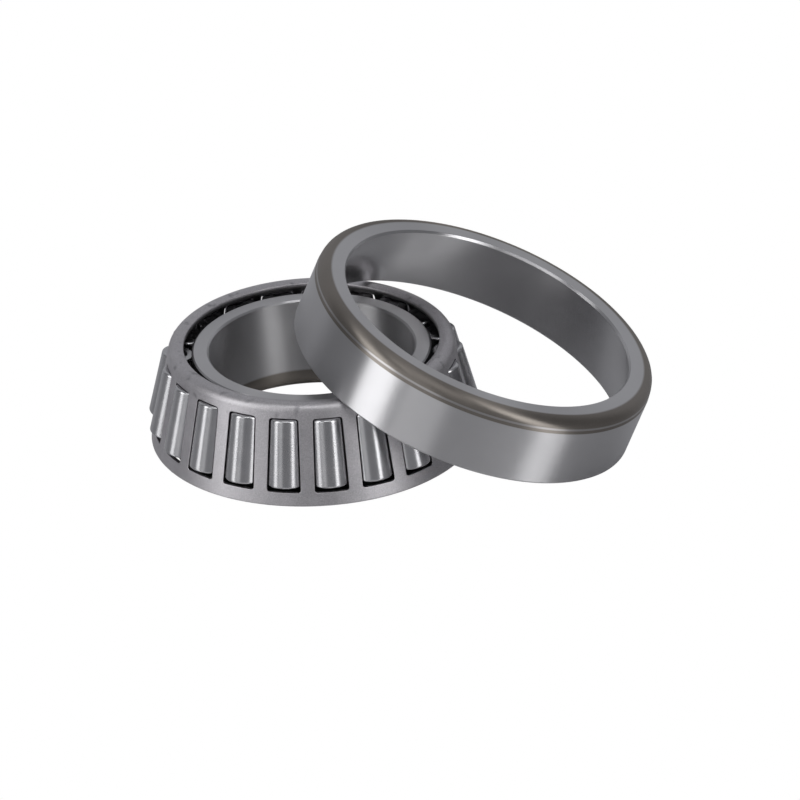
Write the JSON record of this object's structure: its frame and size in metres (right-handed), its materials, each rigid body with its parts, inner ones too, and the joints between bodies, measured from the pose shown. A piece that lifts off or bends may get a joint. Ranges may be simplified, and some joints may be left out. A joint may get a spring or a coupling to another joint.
{
  "type": "tapered roller bearing",
  "caption": "Tapered roller bearing for combined radial and axial load: inner ring, tapered rollers and pressed cage, with the separate outer ring leaned against them.",
  "frame": {"origin": "centre of the inner ring's back face, on the bore axis, where the shaft's shoulder seats", "axes": "+Z along the bore axis from the back face to the small end, up as the roller assembly stands; +X the way to the leaned outer ring"},
  "size_m": [0.0709, 0.0516, 0.0288],
  "materials": {
    "ring_steel": "ground bearing steel, satin",
    "roller_steel": "polished bearing steel",
    "cage_steel": "pressed sheet steel, tumbled satin"
  },
  "bodies": {
    "inner_ring": {"inner_ring": "ring_steel"},
    "cage": {"cage": "cage_steel"},
    "outer_ring": {"outer_ring": "ring_steel"},
    "roller_01": {"roller_01": "roller_steel"},
    "roller_02": {"roller_02": "roller_steel"},
    "roller_03": {"roller_03": "roller_steel"},
    "roller_04": {"roller_04": "roller_steel"},
    "roller_05": {"roller_05": "roller_steel"},
    "roller_06": {"roller_06": "roller_steel"},
    "roller_07": {"roller_07": "roller_steel"},
    "roller_08": {"roller_08": "roller_steel"},
    "roller_09": {"roller_09": "roller_steel"},
    "roller_10": {"roller_10": "roller_steel"},
    "roller_11": {"roller_11": "roller_steel"},
    "roller_12": {"roller_12": "roller_steel"},
    "roller_13": {"roller_13": "roller_steel"},
    "roller_14": {"roller_14": "roller_steel"},
    "roller_15": {"roller_15": "roller_steel"},
    "roller_16": {"roller_16": "roller_steel"},
    "roller_17": {"roller_17": "roller_steel"},
    "roller_18": {"roller_18": "roller_steel"},
    "roller_19": {"roller_19": "roller_steel"},
    "roller_20": {"roller_20": "roller_steel"},
    "roller_21": {"roller_21": "roller_steel"}
  },
  "joints": [
    {"name": "cage_spin", "type": "hinge", "parent": "inner_ring", "child": "cage", "pos_m": [0, 0, 0.009], "axis": [0, 0, 1], "continuous": true},
    {"name": "outer_ring_spin", "type": "hinge", "parent": "inner_ring", "child": "outer_ring", "pos_m": [0.02286, -0.00285, 0.0146], "axis": [0.3867, -0.0495, 0.9209], "continuous": true},
    {"name": "roller_01_spin", "type": "hinge", "parent": "cage", "child": "roller_01", "pos_m": [0.00167, -0.01991, 0.00861], "axis": [-0.0183, 0.2182, 0.9757], "continuous": true},
    {"name": "roller_02_spin", "type": "hinge", "parent": "cage", "child": "roller_02", "pos_m": [0.00746, -0.01853, 0.00861], "axis": [-0.0818, 0.2031, 0.9757], "continuous": true},
    {"name": "roller_03_spin", "type": "hinge", "parent": "cage", "child": "roller_03", "pos_m": [0.01259, -0.01551, 0.00861], "axis": [-0.1381, 0.17, 0.9757], "continuous": true},
    {"name": "roller_04_spin", "type": "hinge", "parent": "cage", "child": "roller_04", "pos_m": [0.01661, -0.0111, 0.00861], "axis": [-0.182, 0.1217, 0.9757], "continuous": true},
    {"name": "roller_05_spin", "type": "hinge", "parent": "cage", "child": "roller_05", "pos_m": [0.01914, -0.00572, 0.00861], "axis": [-0.2098, 0.0627, 0.9757], "continuous": true},
    {"name": "roller_06_spin", "type": "hinge", "parent": "cage", "child": "roller_06", "pos_m": [0.01997, 0.00018, 0.00861], "axis": [-0.219, -0.002, 0.9757], "continuous": true},
    {"name": "roller_07_spin", "type": "hinge", "parent": "cage", "child": "roller_07", "pos_m": [0.01903, 0.00606, 0.00861], "axis": [-0.2087, -0.0664, 0.9757], "continuous": true},
    {"name": "roller_08_spin", "type": "hinge", "parent": "cage", "child": "roller_08", "pos_m": [0.0164, 0.0114, 0.00861], "axis": [-0.1798, -0.125, 0.9757], "continuous": true},
    {"name": "roller_09_spin", "type": "hinge", "parent": "cage", "child": "roller_09", "pos_m": [0.01231, 0.01573, 0.00861], "axis": [-0.135, -0.1724, 0.9757], "continuous": true},
    {"name": "roller_10_spin", "type": "hinge", "parent": "cage", "child": "roller_10", "pos_m": [0.00713, 0.01866, 0.00861], "axis": [-0.0782, -0.2046, 0.9757], "continuous": true},
    {"name": "roller_11_spin", "type": "hinge", "parent": "cage", "child": "roller_11", "pos_m": [0.00131, 0.01993, 0.00861], "axis": [-0.0144, -0.2185, 0.9757], "continuous": true},
    {"name": "roller_12_spin", "type": "hinge", "parent": "cage", "child": "roller_12", "pos_m": [-0.00462, 0.01943, 0.00861], "axis": [0.0506, -0.2131, 0.9757], "continuous": true},
    {"name": "roller_13_spin", "type": "hinge", "parent": "cage", "child": "roller_13", "pos_m": [-0.01014, 0.01721, 0.00861], "axis": [0.1112, -0.1887, 0.9757], "continuous": true},
    {"name": "roller_14_spin", "type": "hinge", "parent": "cage", "child": "roller_14", "pos_m": [-0.01476, 0.01345, 0.00861], "axis": [0.1619, -0.1475, 0.9757], "continuous": true},
    {"name": "roller_15_spin", "type": "hinge", "parent": "cage", "child": "roller_15", "pos_m": [-0.01807, 0.00851, 0.00861], "axis": [0.1982, -0.0932, 0.9757], "continuous": true},
    {"name": "roller_16_spin", "type": "hinge", "parent": "cage", "child": "roller_16", "pos_m": [-0.01978, 0.0028, 0.00861], "axis": [0.2168, -0.0307, 0.9757], "continuous": true},
    {"name": "roller_17_spin", "type": "hinge", "parent": "cage", "child": "roller_17", "pos_m": [-0.01973, -0.00315, 0.00861], "axis": [0.2163, 0.0346, 0.9757], "continuous": true},
    {"name": "roller_18_spin", "type": "hinge", "parent": "cage", "child": "roller_18", "pos_m": [-0.01792, -0.00883, 0.00861], "axis": [0.1965, 0.0968, 0.9757], "continuous": true},
    {"name": "roller_19_spin", "type": "hinge", "parent": "cage", "child": "roller_19", "pos_m": [-0.01452, -0.01372, 0.00861], "axis": [0.1592, 0.1504, 0.9757], "continuous": true},
    {"name": "roller_20_spin", "type": "hinge", "parent": "cage", "child": "roller_20", "pos_m": [-0.00983, -0.01739, 0.00861], "axis": [0.1078, 0.1906, 0.9757], "continuous": true},
    {"name": "roller_21_spin", "type": "hinge", "parent": "cage", "child": "roller_21", "pos_m": [-0.00427, -0.01951, 0.00861], "axis": [0.0468, 0.2139, 0.9757], "continuous": true}
  ],
  "couplings": [
    {"joint": "roller_01_spin", "follows": "cage_spin", "ratio": 7.1197},
    {"joint": "roller_02_spin", "follows": "cage_spin", "ratio": 7.1197},
    {"joint": "roller_03_spin", "follows": "cage_spin", "ratio": 7.1197},
    {"joint": "roller_04_spin", "follows": "cage_spin", "ratio": 7.1197},
    {"joint": "roller_05_spin", "follows": "cage_spin", "ratio": 7.1197},
    {"joint": "roller_06_spin", "follows": "cage_spin", "ratio": 7.1197},
    {"joint": "roller_07_spin", "follows": "cage_spin", "ratio": 7.1197},
    {"joint": "roller_08_spin", "follows": "cage_spin", "ratio": 7.1197},
    {"joint": "roller_09_spin", "follows": "cage_spin", "ratio": 7.1197},
    {"joint": "roller_10_spin", "follows": "cage_spin", "ratio": 7.1197},
    {"joint": "roller_11_spin", "follows": "cage_spin", "ratio": 7.1197},
    {"joint": "roller_12_spin", "follows": "cage_spin", "ratio": 7.1197},
    {"joint": "roller_13_spin", "follows": "cage_spin", "ratio": 7.1197},
    {"joint": "roller_14_spin", "follows": "cage_spin", "ratio": 7.1197},
    {"joint": "roller_15_spin", "follows": "cage_spin", "ratio": 7.1197},
    {"joint": "roller_16_spin", "follows": "cage_spin", "ratio": 7.1197},
    {"joint": "roller_17_spin", "follows": "cage_spin", "ratio": 7.1197},
    {"joint": "roller_18_spin", "follows": "cage_spin", "ratio": 7.1197},
    {"joint": "roller_19_spin", "follows": "cage_spin", "ratio": 7.1197},
    {"joint": "roller_20_spin", "follows": "cage_spin", "ratio": 7.1197},
    {"joint": "roller_21_spin", "follows": "cage_spin", "ratio": 7.1197}
  ]
}
